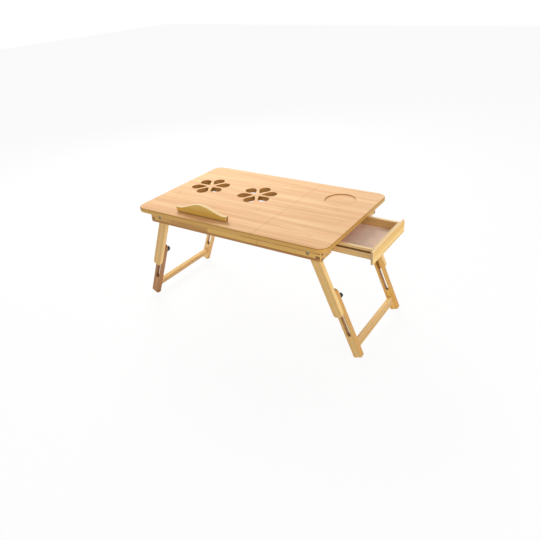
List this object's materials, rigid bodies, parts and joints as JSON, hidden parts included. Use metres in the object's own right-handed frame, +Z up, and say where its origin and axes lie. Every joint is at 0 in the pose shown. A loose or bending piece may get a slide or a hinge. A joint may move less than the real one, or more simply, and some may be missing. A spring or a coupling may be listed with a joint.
{
  "type": "laptop desk",
  "caption": "Folding bamboo laptop desk with a tilting vented panel, a stop bar, a drawer in the right end, a cup recess and telescoping splayed legs.",
  "frame": {"origin": "on the floor, under the middle of the desk's bounding box with its legs out and its drawer open", "axes": "+X to the right as the user sits, towards the drawer; +Y away from the user; +Z up"},
  "size_m": [0.7, 0.34, 0.3318],
  "materials": {
    "bamboo": "satin lacquer",
    "bamboo_top": "satin lacquer",
    "drawer_board": "matt",
    "steel": "bright zinc",
    "nylon": "moulded",
    "black_plastic": "moulded"
  },
  "bodies": {
    "frame": {"front_rail": "bamboo", "back_rail": "bamboo", "left_end_rail": "bamboo", "right_end_rail_front": "bamboo", "right_end_rail_back": "bamboo", "fixed_top": "bamboo_top", "seam_rail": "bamboo", "drawer_runner_front": "bamboo", "drawer_runner_back": "bamboo", "notched_strip_left": "bamboo", "notched_strip_right": "bamboo", "hinge_rail_leaf_left": "steel", "hinge_rail_leaf_right": "steel", "leg_pivot_bolts": "steel", "leg_pivot_washers": "steel"},
    "tilt_panel": {"tilt_panel": "bamboo_top", "hinge_panel_leaf_left": "steel", "hinge_panel_leaf_right": "steel", "prop_clips": "nylon"},
    "stop_bar": {"stop_bar": "bamboo", "stop_bar_pegs": "bamboo"},
    "prop": {"prop_wire": "steel"},
    "drawer": {"drawer_side_front": "bamboo", "drawer_side_back": "bamboo", "drawer_inner_front": "bamboo", "drawer_back": "bamboo", "drawer_floor": "drawer_board", "drawer_plate": "bamboo"},
    "left_upper_legs": {"left_front_upper_leg": "bamboo", "left_back_upper_leg": "bamboo"},
    "left_lower_legs": {"left_front_lower_leg": "bamboo", "left_back_lower_leg": "bamboo", "left_stretcher": "bamboo"},
    "left_front_knob": {"left_front_knob": "black_plastic"},
    "left_back_knob": {"left_back_knob": "black_plastic"},
    "right_upper_legs": {"right_front_upper_leg": "bamboo", "right_back_upper_leg": "bamboo"},
    "right_lower_legs": {"right_front_lower_leg": "bamboo", "right_back_lower_leg": "bamboo", "right_stretcher": "bamboo"},
    "right_front_knob": {"right_front_knob": "black_plastic"},
    "right_back_knob": {"right_back_knob": "black_plastic"}
  },
  "joints": [
    {"name": "panel_tilt", "type": "hinge", "parent": "frame", "child": "tilt_panel", "pos_m": [-0.19899, -0.1495, 0.29], "axis": [1, 0, 0], "range_deg": [0, 35]},
    {"name": "prop_swing", "type": "hinge", "parent": "tilt_panel", "child": "prop", "pos_m": [-0.16024, -0.0325, 0.28575], "axis": [1, 0, 0], "range_deg": [-70, 0]},
    {"name": "stop_lift", "type": "slide", "parent": "tilt_panel", "child": "stop_bar", "axis": [0, 0, 1], "range_m": [0, 0.02]},
    {"name": "drawer_slide", "type": "slide", "parent": "frame", "child": "drawer", "axis": [1, 0, 0], "range_m": [-0.101, 0.015]},
    {"name": "left_leg_fold", "type": "hinge", "parent": "frame", "child": "left_upper_legs", "pos_m": [-0.22814, -0.127, 0.273], "axis": [0, -1, 0], "range_deg": [0, 112.54]},
    {"name": "left_leg_length", "type": "slide", "parent": "left_upper_legs", "child": "left_lower_legs", "axis": [0.3833, 0, 0.9236], "range_m": [0, 0.092]},
    {"name": "left_front_knob_turn", "type": "hinge", "parent": "left_upper_legs", "child": "left_front_knob", "pos_m": [-0.28028, -0.0991, 0.14739], "axis": [0, 1, 0], "range_deg": [0, 180]},
    {"name": "left_back_knob_turn", "type": "hinge", "parent": "left_upper_legs", "child": "left_back_knob", "pos_m": [-0.28028, 0.0991, 0.14739], "axis": [0, -1, 0], "range_deg": [0, 180]},
    {"name": "right_leg_fold", "type": "hinge", "parent": "frame", "child": "right_upper_legs", "pos_m": [0.21016, -0.127, 0.273], "axis": [0, 1, 0], "range_deg": [0, 112.54]},
    {"name": "right_leg_length", "type": "slide", "parent": "right_upper_legs", "child": "right_lower_legs", "axis": [-0.3833, 0, 0.9236], "range_m": [0, 0.092]},
    {"name": "right_front_knob_turn", "type": "hinge", "parent": "right_upper_legs", "child": "right_front_knob", "pos_m": [0.26229, -0.0991, 0.14739], "axis": [0, 1, 0], "range_deg": [0, 180]},
    {"name": "right_back_knob_turn", "type": "hinge", "parent": "right_upper_legs", "child": "right_back_knob", "pos_m": [0.26229, 0.0991, 0.14739], "axis": [0, -1, 0], "range_deg": [0, 180]}
  ],
  "couplings": [
    {"joint": "prop_swing", "follows": "panel_tilt", "ratio": -2}
  ]
}
